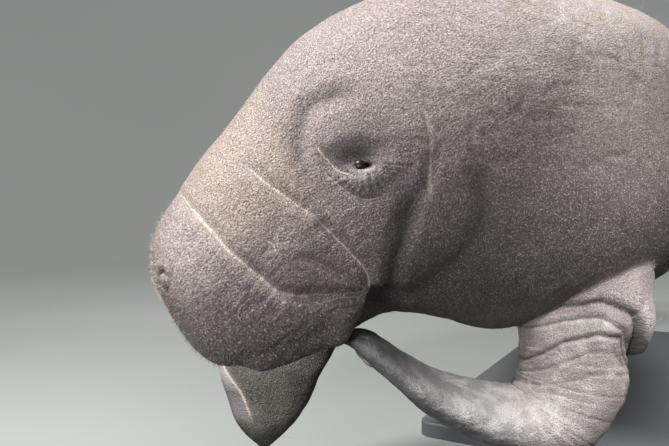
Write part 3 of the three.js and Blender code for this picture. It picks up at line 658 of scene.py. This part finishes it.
def joined(name, meshes):
    """One closed mesh from several that cross."""
    parts = [thing(f"{name}_{i}", mesh) for i, mesh in enumerate(meshes)]
    for i, part in enumerate(parts):
        layer = part.data.attributes.new("source", "INT", "FACE")
        layer.data.foreach_set("value", np.full(len(part.data.polygons), i, np.int32))
    for other in parts[1:]:
        union = parts[0].modifiers.new("union", "BOOLEAN")
        union.operation = "UNION"
        union.solver = "MANIFOLD"
        union.object = other
    whole = bpy.data.meshes.new_from_object(parts[0].evaluated_get(bpy.context.evaluated_depsgraph_get()))
    for part in parts:
        bpy.data.objects.remove(part)
    whole.name = name
    return whole


def read(mesh, what, key, width, kind=np.float32):
    values = np.empty(len(getattr(mesh, what)) * width, kind)
    getattr(mesh, what).foreach_get(key, values)
    return values.reshape(-1, width) if width > 1 else values


def soften_seams(mesh, reach):
    """Rounds the skin off where its pieces meet. Reach gives how far, in metres, for each piece's number."""
    source = read(mesh.attributes["source"], "data", "value", 1, np.int32)
    sizes = read(mesh, "polygons", "loop_total", 1, np.int32)
    of_corner = np.repeat(source, sizes)
    edge_of_corner = read(mesh, "loops", "edge_index", 1, np.int32)
    edges = read(mesh, "edges", "vertices", 2, np.int32)
    low, high = np.full(len(edges), 99), np.full(len(edges), -1)
    np.minimum.at(low, edge_of_corner, of_corner)
    np.maximum.at(high, edge_of_corner, of_corner)
    points = read(mesh, "vertices", "co", 3).astype(float)
    weight = np.zeros(len(points))
    for number, radius in reach.items():
        seam = np.unique(edges[(low != high) & (high == number)])
        if not len(seam):
            continue
        tree = kdtree.KDTree(len(seam))
        for i, k in enumerate(seam):
            tree.insert(points[k], i)
        tree.balance()
        box = (points[seam].min(0) - radius, points[seam].max(0) + radius)
        close = np.flatnonzero(((points > box[0]) & (points < box[1])).all(1))
        far = np.array([tree.find(points[k])[2] for k in close])
        weight[close] = np.maximum(weight[close], 1 - smooth(far, 0, radius))
    moving = weight > 0
    use = moving[edges].any(1)
    a, b = edges[use].T
    for _ in range(30):
        total, count = np.zeros_like(points), np.zeros(len(points))
        for p, q in ((a, b), (b, a)):
            for k in range(3):
                total[:, k] += np.bincount(p, points[q, k], len(points))
            count += np.bincount(p, minlength=len(points))
        some = count > 0
        mean = points.copy()
        mean[some] = total[some] / count[some, None]
        points += weight[:, None] * 0.6 * (mean - points)
    mesh.vertices.foreach_set("co", points.astype(np.float32).ravel())
    mesh.update()


# Camera
camera = thing("camera", bpy.data.cameras.new("camera"))
bpy.context.scene.camera = camera
camera.location = CAMERA_PLACE
camera.rotation_euler = (math.pi / 2, 0, math.radians(LOOK_AZIMUTH))
camera.data.lens = LENS
camera.data.sensor_width = 36
camera.data.clip_start, camera.data.clip_end = 0.05, 100

# Skin
skin_mesh = joined("skin", [
    body_mesh(),
    jaw_mesh(),
    limb_mesh("left", LEFT_FLIPPER),
    limb_mesh("right", RIGHT_FLIPPER),
])
soften_seams(skin_mesh, SEAM_REACH)
shade_smooth(skin_mesh)
skin = thing("skin", skin_mesh)


# Materials
class Look:
    """A material, with makers of its nodes. Each maker returns what the new node puts out."""

    def __init__(self, name):
        self.material = bpy.data.materials.new(name)
        self.material.use_nodes = True
        self.tree = self.material.node_tree
        self.inputs = self.tree.nodes["Principled BSDF"].inputs

    def set(self, socket, value):
        if isinstance(value, bpy.types.NodeSocket):
            self.tree.links.new(value, socket)
        else:
            socket.default_value = value

    def node(self, kind, inputs, **settings):
        made = self.tree.nodes.new(kind)
        for key, value in settings.items():
            setattr(made, key, value)
        for key, value in inputs.items():
            self.set(made.inputs[key], value)
        return made.outputs

    def attribute(self, name, output="Fac"):
        return self.node("ShaderNodeAttribute", {}, attribute_name=name)[output]

    def operate(self, operation, *values):
        return self.node("ShaderNodeMath", dict(enumerate(values)), operation=operation)[0]

    def times(self, value, *others):
        for other in others:
            value = self.operate("MULTIPLY", value, other)
        return value

    def plus(self, value, *others):
        for other in others:
            value = self.operate("ADD", value, other)
        return value

    def span(self, value, low, high, to_low=0.0, to_high=1.0):
        """The value taken from low..high to to_low..to_high, smoothly."""
        inputs = {"Value": value, "From Min": low, "From Max": high, "To Min": to_low, "To Max": to_high}
        return self.node("ShaderNodeMapRange", inputs, interpolation_type="SMOOTHSTEP")[0]

    def mixed(self, share, a, b):
        """From colour a to colour b by the share."""
        a, b = ((*colour, 1) if isinstance(colour, tuple) else colour for colour in (a, b))
        return self.node("ShaderNodeMix", {0: share, 6: a, 7: b}, data_type="RGBA")[2]

    def noise(self, place, scale, detail=2, rough=0.5):
        inputs = {"Vector": place, "Scale": scale, "Detail": detail, "Roughness": rough}
        return self.node("ShaderNodeTexNoise", inputs)["Fac"]

    def cells(self, place, scale, randomness=1.0, **settings):
        inputs = {"Vector": place, "Scale": scale, "Randomness": randomness}
        return self.node("ShaderNodeTexVoronoi", inputs, **settings)["Distance"]

    def finish(self, colour, rough, height, strength, distance, specular):
        self.set(self.inputs["Base Color"], colour)
        self.set(self.inputs["Roughness"], rough)
        self.inputs["Specular IOR Level"].default_value = specular
        bump = self.node("ShaderNodeBump", {"Height": height, "Strength": strength, "Distance": distance})
        self.set(self.inputs["Normal"], bump[0])
        return self.material


def skin_material():
    look = Look("skin")
    times, plus, span, mixed = look.times, look.plus, look.span, look.mixed
    place = look.attribute("place", "Vector")
    pale, dark, light = look.attribute("pale"), look.attribute("dark"), look.attribute("light")
    limb, crease = look.attribute("limb"), look.attribute("crease")
    parts = look.node("ShaderNodeSeparateXYZ", {0: place})
    x, y, z = parts["X"], parts["Y"], parts["Z"]

    broad = look.noise(place, 7, 3)
    patches = look.noise(place, 34, 4, 0.6)
    specks = look.noise(place, 460, 2, 0.6)
    warp = look.noise(place, 90)
    pebbles = look.cells(place, 330)
    edges = look.cells(place, 300, feature="DISTANCE_TO_EDGE")
    slant = look.node("ShaderNodeMapping", {"Vector": place, "Rotation": (0, 0.7, 0), "Scale": (1, 1, 0.35)})
    worms = look.operate("ABSOLUTE", look.operate("SUBTRACT", look.noise(slant[0], 330), 0.5))

    # The top is lighter and warmer; painted shade makes the cheeks and the underside darker
    base = mixed(span(broad, 0.35, 0.65), (0.235, 0.19, 0.188), (0.315, 0.258, 0.25))
    # Painted shade on the cheeks and the underside
    low = times(span(z, 0.06, -0.2), span(x, 0.15, 0.26, 0.12, 0.9))
    base = mixed(low, base, (0.08, 0.07, 0.068))
    # Yellow-brown algae and pale spots on the back, and a tan on the bridge of the snout
    rear = times(span(x, 0.3, 0.75), span(z, -0.1, 0.12))
    base = mixed(times(rear, span(patches, 0.42, 0.66), 0.6), base, (0.33, 0.26, 0.15))
    spots = times(span(look.cells(place, 75), 0.3, 0.12), span(broad, 0.42, 0.6))
    base = mixed(times(spots, times(rear, 0.45)), base, (0.47, 0.42, 0.34))
    bridge = times(span(x, 0.24, 0.17), span(x, 0.05, 0.09))
    base = mixed(times(bridge, span(z, -0.07, 0.03), 0.42), base, (0.33, 0.245, 0.17))
    # The left flipper goes from beige to grey at its hand; the right one is a dark slate of painted shade
    beige = mixed(span(patches, 0.44, 0.62), (0.38, 0.345, 0.33), (0.6, 0.55, 0.52))
    grey = mixed(span(patches, 0.42, 0.6), (0.25, 0.245, 0.25), (0.42, 0.41, 0.41))
    shadowed_slate = mixed(span(patches, 0.4, 0.62), (0.03, 0.034, 0.025), (0.062, 0.066, 0.05))
    flipper = mixed(span(limb, 0.66, 1.0), beige, grey)
    # Painted shade: the right flipper turns dark slate
    flipper = mixed(span(limb, 1.05, 1.3), flipper, shadowed_slate)
    limb = look.operate("MINIMUM", limb, 1.0)
    base = mixed(times(limb, 0.9), base, flipper)

    # Grain: bright specks, dark pits and the lines between, then painted shade and highlights the shapes mark
    plain = look.operate("SUBTRACT", 1.0, times(limb, 0.65))
    base = mixed(times(span(specks, 0.52, 0.68), times(plain, 0.66)), base, (0.54, 0.47, 0.455))
    base = mixed(times(span(specks, 0.5, 0.34), times(plain, 0.72)), base, (0.085, 0.069, 0.069))
    base = mixed(times(span(worms, 0.05, 0.0), times(plain, 0.4)), base, (0.075, 0.062, 0.06))
    # Painted shade where the shapes mark dark, then painted highlights where they mark light
    base = mixed(times(dark, 0.85), base, (0.04, 0.034, 0.036))
    base = mixed(times(light, 0.7), base, (0.46, 0.43, 0.45))

    # Pale broken lines along the creases, and a soft pale tint beside them
    # On the right flipper this line and tint are a painted highlight along its ridge
    wobble = times(look.operate("SUBTRACT", specks, 0.5), 3.4)
    off = plus(look.operate("ABSOLUTE", crease), wobble)
    line = times(span(off, 1.15, 0.45), pale, span(warp, 0.3, 0.5, 0.45, 1))
    base = mixed(times(span(off, 4.5, 0.5), times(pale, 0.25)), base, (0.42, 0.345, 0.29))
    base = mixed(times(line, span(specks, 0.4, 0.56, 0.4, 1)), base, (0.74, 0.655, 0.61))

    # Pale dots where the bristles of the lip pads grow
    round_ = plus(x, look.operate("ABSOLUTE", y))
    flat = look.node("ShaderNodeCombineXYZ", {0: round_, 1: z})[0]
    dots = look.cells(flat, 78, 0.7, voronoi_dimensions="2D")
    slope = plus(z, times(x, 0.3))
    pad = times(span(slope, -0.035, -0.085), span(x, 0.2, 0.17), span(limb, 0.1, 0.0))
    dot = times(span(dots, 0.16, 0.07), pad, span(warp, 0.3, 0.6, 0.3, 0.95))
    base = mixed(dot, base, (0.6, 0.55, 0.51))

    rough = look.operate("SUBTRACT", span(patches, 0.3, 0.7, 0.46, 0.64), times(limb, 0.12))
    height = times(span(pebbles, 0.8, 0.0), 0.5)
    height = plus(height, times(specks, 0.8), times(span(worms, 0, 0.08), 0.28))
    height = plus(height, times(span(edges, 0, 0.15), 0.4))
    height = times(height, span(x, 0.25, 0.6, 1, 0.6))
    return look.finish(base, rough, height, strength=0.85, distance=0.001, specular=0.4)


skin_mesh.materials.clear()
skin_mesh.materials.append(skin_material())
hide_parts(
    "head", "neck", "chest", "belly", "loins", "tail_stock", "tail_paddle", "lower_jaw",
    "flipper_left_upper_arm", "flipper_left_forearm", "flipper_left_hand",
    "flipper_right_upper_arm", "flipper_right_forearm", "flipper_right_hand",
)
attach(skin, "root")


def plain_material(name, colour, rough, scale, bump=0.0004, specular=0.5):
    """A mottled material. Scale is that of its grain and bump the grain's height in metres."""
    look = Look(name)
    place = look.node("ShaderNodeTexCoord", {})["Object"]
    grain = look.noise(place, scale, 4)
    light = tuple(c * 1.35 for c in colour)
    mottled = look.mixed(look.span(grain, 0.35, 0.65), colour, light)
    rough = look.span(grain, 0.3, 0.7, rough * 0.85, rough * 1.2)
    return look.finish(mottled, rough, grain, strength=0.3, distance=bump, specular=specular)


def turned(name, profile, columns):
    """A closed mesh turned round Z from its outline of radius and height, in metres."""
    a = np.arange(columns) * 2 * np.pi / columns
    points = [(0, 0, profile[0][1])]
    for r, h in profile[1:-1]:
        points += [(r * math.cos(v), r * math.sin(v), h) for v in a]
    points.append((0, 0, profile[-1][1]))
    last, count = len(points) - 1, len(profile) - 2
    faces = [(0, 1 + (j + 1) % columns, 1 + j) for j in range(columns)]
    faces += ring_faces(count, columns, 1)
    k = 1 + (count - 1) * columns
    faces += [(last, k + j, k + (j + 1) % columns) for j in range(columns)]
    return list_mesh(name, points, faces)


# Eyes: a dark ball whose clear front bulges a little
eye_look = plain_material("eye", (0.012, 0.009, 0.007), 0.28, scale=200, bump=0.00002, specular=0.22)
steps = np.linspace(0, math.pi, 25)
swell = [EYE_RADIUS * (1 + 0.07 * math.exp(-(((math.pi - a) / 0.5) ** 2))) * MM for a in steps]
profile = [(r * math.sin(a), -r * math.cos(a)) for r, a in zip(swell, steps)]
for side, sign in (("left", -1), ("right", 1)):
    ball = thing(f"eyeball_{side}", turned("eyeball", profile, 32))
    axis = [[EYE[0], sign * (EYE[1] + out), EYE[2]] for out in (0, 10)]
    centre, outer = posed(np.array(axis, float))
    ball.rotation_euler = Vector(outer - centre).to_track_quat("Z", "Y").to_euler()
    ball.location = centre * MM
    ball.data.materials.append(eye_look)
    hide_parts(f"eye_{side}")
    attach(ball, "root")


# Nails: flat plates, ridged along their length
def nail_mesh(sections, t, angle):
    def spot(dt, da):
        return limb_surface(sections, np.array([t + dt]), np.array([angle + da]))[0]

    ahead = spot(0.05, 0) - spot(-0.05, 0)
    ahead /= np.linalg.norm(ahead)
    out = np.cross(spot(0, 0.05) - spot(0, -0.05), ahead)
    out /= np.linalg.norm(out)
    middle, across = spot(0, 0), np.cross(out, ahead)
    rows, columns = 14, 28
    points = []
    for i in range(rows + 1):
        polar = math.pi * i / rows
        for j in range(columns):
            a = 2 * math.pi * j / columns
            u, v = math.sin(polar) * math.cos(a), math.sin(polar) * math.sin(a)
            w = math.copysign(abs(math.cos(polar)) ** 0.7, math.cos(polar)) * (1 - 0.25 * max(u, 0))
            ridge = 1 + 0.05 * math.cos(9 * v)
            along, over = ahead * NAIL[0] * u, across * NAIL[1] * v * (1 - 0.2 * u)
            points.append(tuple((middle + along + over + out * NAIL[2] * w * ridge) * MM))
    mesh = list_mesh("nail", points, ring_faces(rows + 1, columns))
    shape = bmesh.new()
    shape.from_mesh(mesh)
    bmesh.ops.remove_doubles(shape, verts=shape.verts, dist=1e-6)
    bmesh.ops.recalc_face_normals(shape, faces=shape.faces)
    shape.to_mesh(mesh)
    shape.free()
    shade_smooth(mesh)
    return mesh


nail_look = plain_material("nail", (0.36, 0.31, 0.25), 0.4, scale=150)
for side, sections in (("left", LEFT_FLIPPER), ("right", RIGHT_FLIPPER)):
    for number, (t, angle) in enumerate(NAILS[side], 1):
        nail = thing(f"flipper_nail_{side}_{number}", nail_mesh(sections, t, angle))
        nail.data.materials.append(nail_look)
        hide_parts(f"nail_{side}_{number}")
        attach(nail, "root")

# Stand: the base with rounded edges, and each rod with a collar
stand_look = plain_material("stand", (0.13, 0.137, 0.145), 0.42, scale=500, bump=0.0002)
low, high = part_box("stand_base")
shape = bmesh.new()
bmesh.ops.create_cube(shape, size=1)
for v in shape.verts:
    v.co = [low[k] if v.co[k] < 0 else high[k] for k in range(3)]
upright = [e for e in shape.edges if abs(e.verts[0].co.z - e.verts[1].co.z) > 0.01]
bmesh.ops.bevel(shape, geom=upright, offset=0.03, segments=8, profile=0.5, affect="EDGES")
top = [e for e in shape.edges if all(v.co.z > high.z - 1e-6 for v in e.verts)]
bmesh.ops.bevel(shape, geom=top, offset=0.004, segments=3, profile=0.5, affect="EDGES")
mesh = bpy.data.meshes.new("base")
shape.to_mesh(mesh)
shape.free()
base = thing("base_plate", mesh)
pieces = [(base, "stand_base")]
for name in ("stand_rod_front", "stand_rod_rear"):
    low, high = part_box(name)
    radius, foot = (high.x - low.x) / 2, low.z
    collar, rise = radius * 1.7, 0.022
    outline = [(0, foot), (collar, foot), (collar, foot + rise - 0.004), (collar - 0.004, foot + rise)]
    outline += [(radius + 0.003, foot + rise), (radius, foot + rise + 0.003), (radius, high.z), (0, high.z)]
    rod = thing(name.replace("stand_rod", "rod"), turned("rod", outline, 48))
    rod.location = ((low.x + high.x) / 2, (low.y + high.y) / 2, 0)
    pieces.append((rod, name))
for piece, name in pieces:
    piece.data.materials.append(stand_look)
    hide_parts(name)
    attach(piece, "root")


# Bristles and hairs, each a thin curved spike. Its UV patch lies where its root is on the skin's unwrap.
face_area = read(skin_mesh, "polygons", "area", 1)
face_centre = read(skin_mesh, "polygons", "center", 3).astype(float)
face_normal = read(skin_mesh, "polygons", "normal", 3).astype(float)
first_corner = read(skin_mesh, "polygons", "loop_start", 1, np.int32)
first_point = read(skin_mesh, "loops", "vertex_index", 1, np.int32)[first_corner]
face_uv = read(skin_mesh.uv_layers["OFBake"], "data", "uv", 2)[first_corner]
face_place = read(skin_mesh.attributes["place"], "data", "vector", 3)[first_point].astype(float) / MM
on_limb = read(skin_mesh.attributes["limb"], "data", "value", 1)[first_point] > 0.05


def hairs(name, chance, look, count, length, radius, lean, scatter):
    """Spikes on faces drawn by chance and area, in millimetres, that lean to the rear and scatter."""
    share = face_area * chance
    roots = rng.choice(len(share), count, p=share / share.sum())
    out = face_normal[roots]
    rear = turn_at(face_place[roots, 0]) @ np.array([1.0, 0, 0])
    rear -= (rear * out).sum(1, keepdims=True) * out
    lie = out + lean * rear + scatter * rng.normal(size=(count, 3))
    lie /= np.linalg.norm(lie, axis=1, keepdims=True)
    bend = lean * rear - 0.35 * np.array([0, 0, 1.0]) + 0.3 * rng.normal(size=(count, 3))
    across = np.cross(lie, rng.normal(size=(count, 3)))
    across /= np.linalg.norm(across, axis=1, keepdims=True)
    other = np.cross(lie, across)
    size = length * rng.uniform(0.5, 1, count)[:, None] * MM
    radius = radius * rng.uniform(0.7, 1, count)[:, None] * MM
    points = []
    for u in (0, 0.35, 0.7):
        middle = face_centre[roots] - out * 0.4 * MM + size * (lie * u + bend * 0.25 * u * u)
        for a in HAIR_EDGES:
            points.append(middle + radius * (1 - 0.7 * u) * (across * math.cos(a) + other * math.sin(a)))
    points.append(face_centre[roots] + size * (lie + bend * 0.25))
    points = np.stack(points, 1)
    faces = [(2, 1, 0)]
    for k in (0, 3):
        faces += [(k, k + 1, k + 4), (k, k + 4, k + 3), (k + 1, k + 2, k + 5), (k + 1, k + 5, k + 4)]
        faces += [(k + 2, k, k + 3), (k + 2, k + 3, k + 5)]
    faces += [(6, 7, 9), (7, 8, 9), (8, 6, 9)]
    corners = (np.array(faces)[None] + 10 * np.arange(count)[:, None, None]).reshape(-1)
    mesh = array_mesh(name, points.reshape(-1, 3), corners, np.arange(0, len(corners), 3))
    turn, shrink = HAIR_EDGES[1] * (np.arange(10) % 3), 0.9 - 0.08 * np.arange(10)
    around = np.stack([np.cos(turn) * shrink, np.sin(turn) * shrink], 1)
    patch = face_uv[roots][:, None] + 0.0015 * around[None]
    unwrap(mesh, patch.reshape(-1, 2)[corners])
    made = thing(name, mesh)
    mesh.materials.append(look)
    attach(made, "root")


bristle_look = plain_material("bristle", (0.4, 0.36, 0.31), 0.45, scale=120)
hair_look = plain_material("hair", (0.34, 0.3, 0.25), 0.5, scale=120)
fx, fz = face_place[:, 0], face_place[:, 2]
pads = smooth(-(fz + 0.3 * fx), 70, 110) * (1 - smooth(fx, 150, 200))
muzzle = np.where(on_limb, 0, (1 - smooth(fx, 10, 80)) + 0.6 * pads)
hairs("bristles", muzzle, bristle_look, count=2300, length=6.5, radius=0.32, lean=0.15, scatter=0.35)
face_hairs = np.where(on_limb, 0, smooth(fx, 60, 120) * (1 - smooth(fx, 380, 500)))
hairs("face_hairs", face_hairs, hair_look, count=900, length=10, radius=0.13, lean=0.5, scatter=0.5)
body_hairs = np.where(on_limb, 0.5, smooth(fx, 380, 500) * (1 - 0.6 * smooth(fx, 2100, 2300)))
hairs("body_hairs", body_hairs, hair_look, count=2600, length=24, radius=0.16, lean=0.9, scatter=0.45)


# Floor: it curves up into a round wall far behind the object
outline = [(0.02, 0), (FLOOR_RADIUS, 0)]
for a in np.linspace(0.1, math.pi / 2, 12):
    outline.append((FLOOR_RADIUS + WALL_CURVE * math.sin(a), WALL_CURVE - WALL_CURVE * math.cos(a)))
outline.append((FLOOR_RADIUS + WALL_CURVE, WALL_TOP))
columns = 96
turns = np.arange(columns) * 2 * math.pi / columns
points = [(r * math.cos(a), r * math.sin(a), h) for r, h in outline for a in turns]
faces = [*ring_faces(len(outline), columns), tuple(range(columns))]
floor = thing("floor", list_mesh("floor", points, faces))
floor_look = plain_material("floor", (0.15, 0.155, 0.152), 0.85, scale=0.4, bump=0)
floor_inputs = floor_look.node_tree.nodes["Principled BSDF"].inputs
floor_inputs["Emission Color"].default_value = (0.7, 0.76, 0.73, 1)
floor_inputs["Emission Strength"].default_value = 0.3
floor.data.materials.append(floor_look)
floor.visible_diffuse = False
floor.visible_glossy = False


# Light
def lamp(name, kind, place, target, power, colour=(1, 1, 1), **settings):
    """A light at a place that shines at a target."""
    made = thing(name, bpy.data.lights.new(name, kind))
    made.location = place
    made.rotation_euler = (Vector(target) - Vector(place)).to_track_quat("-Z", "Y").to_euler()
    made.data.energy = power
    made.data.color = colour
    for key, value in settings.items():
        setattr(made.data, key, value)


world = bpy.data.worlds.new("world")
bpy.context.scene.world = world
world.use_nodes = True
world.node_tree.nodes["Background"].inputs["Color"].default_value = (0.8, 0.86, 0.84, 1)
world.node_tree.nodes["Background"].inputs["Strength"].default_value = 0.115
disk = {"shape": "DISK"}
lamp("key", "AREA", (-2.15, 0.85, 2.5), (-0.95, 0.05, 0.55), 136, (1, 0.97, 0.93), size=0.7, **disk)
lamp("side", "AREA", (-2.9, 0.3, 0.75), (-0.9, -0.05, 0.3), 19, (0.97, 0.98, 1), size=0.8, **disk)
lamp("top", "AREA", (-0.1, -1.2, 2.7), (-0.55, -0.1, 0.7), 72, (1, 0.98, 0.95), size=1.2, **disk)
cone = {"spot_size": math.radians(20), "spot_blend": 0.8, "shadow_soft_size": 0.08}
lamp("arm", "SPOT", (-1.5, -1.15, 1.8), (-0.95, -0.16, 0.17), 225, **cone)
bpy.context.scene.view_settings.view_transform = "Standard"

bpy.context.view_layer.update()
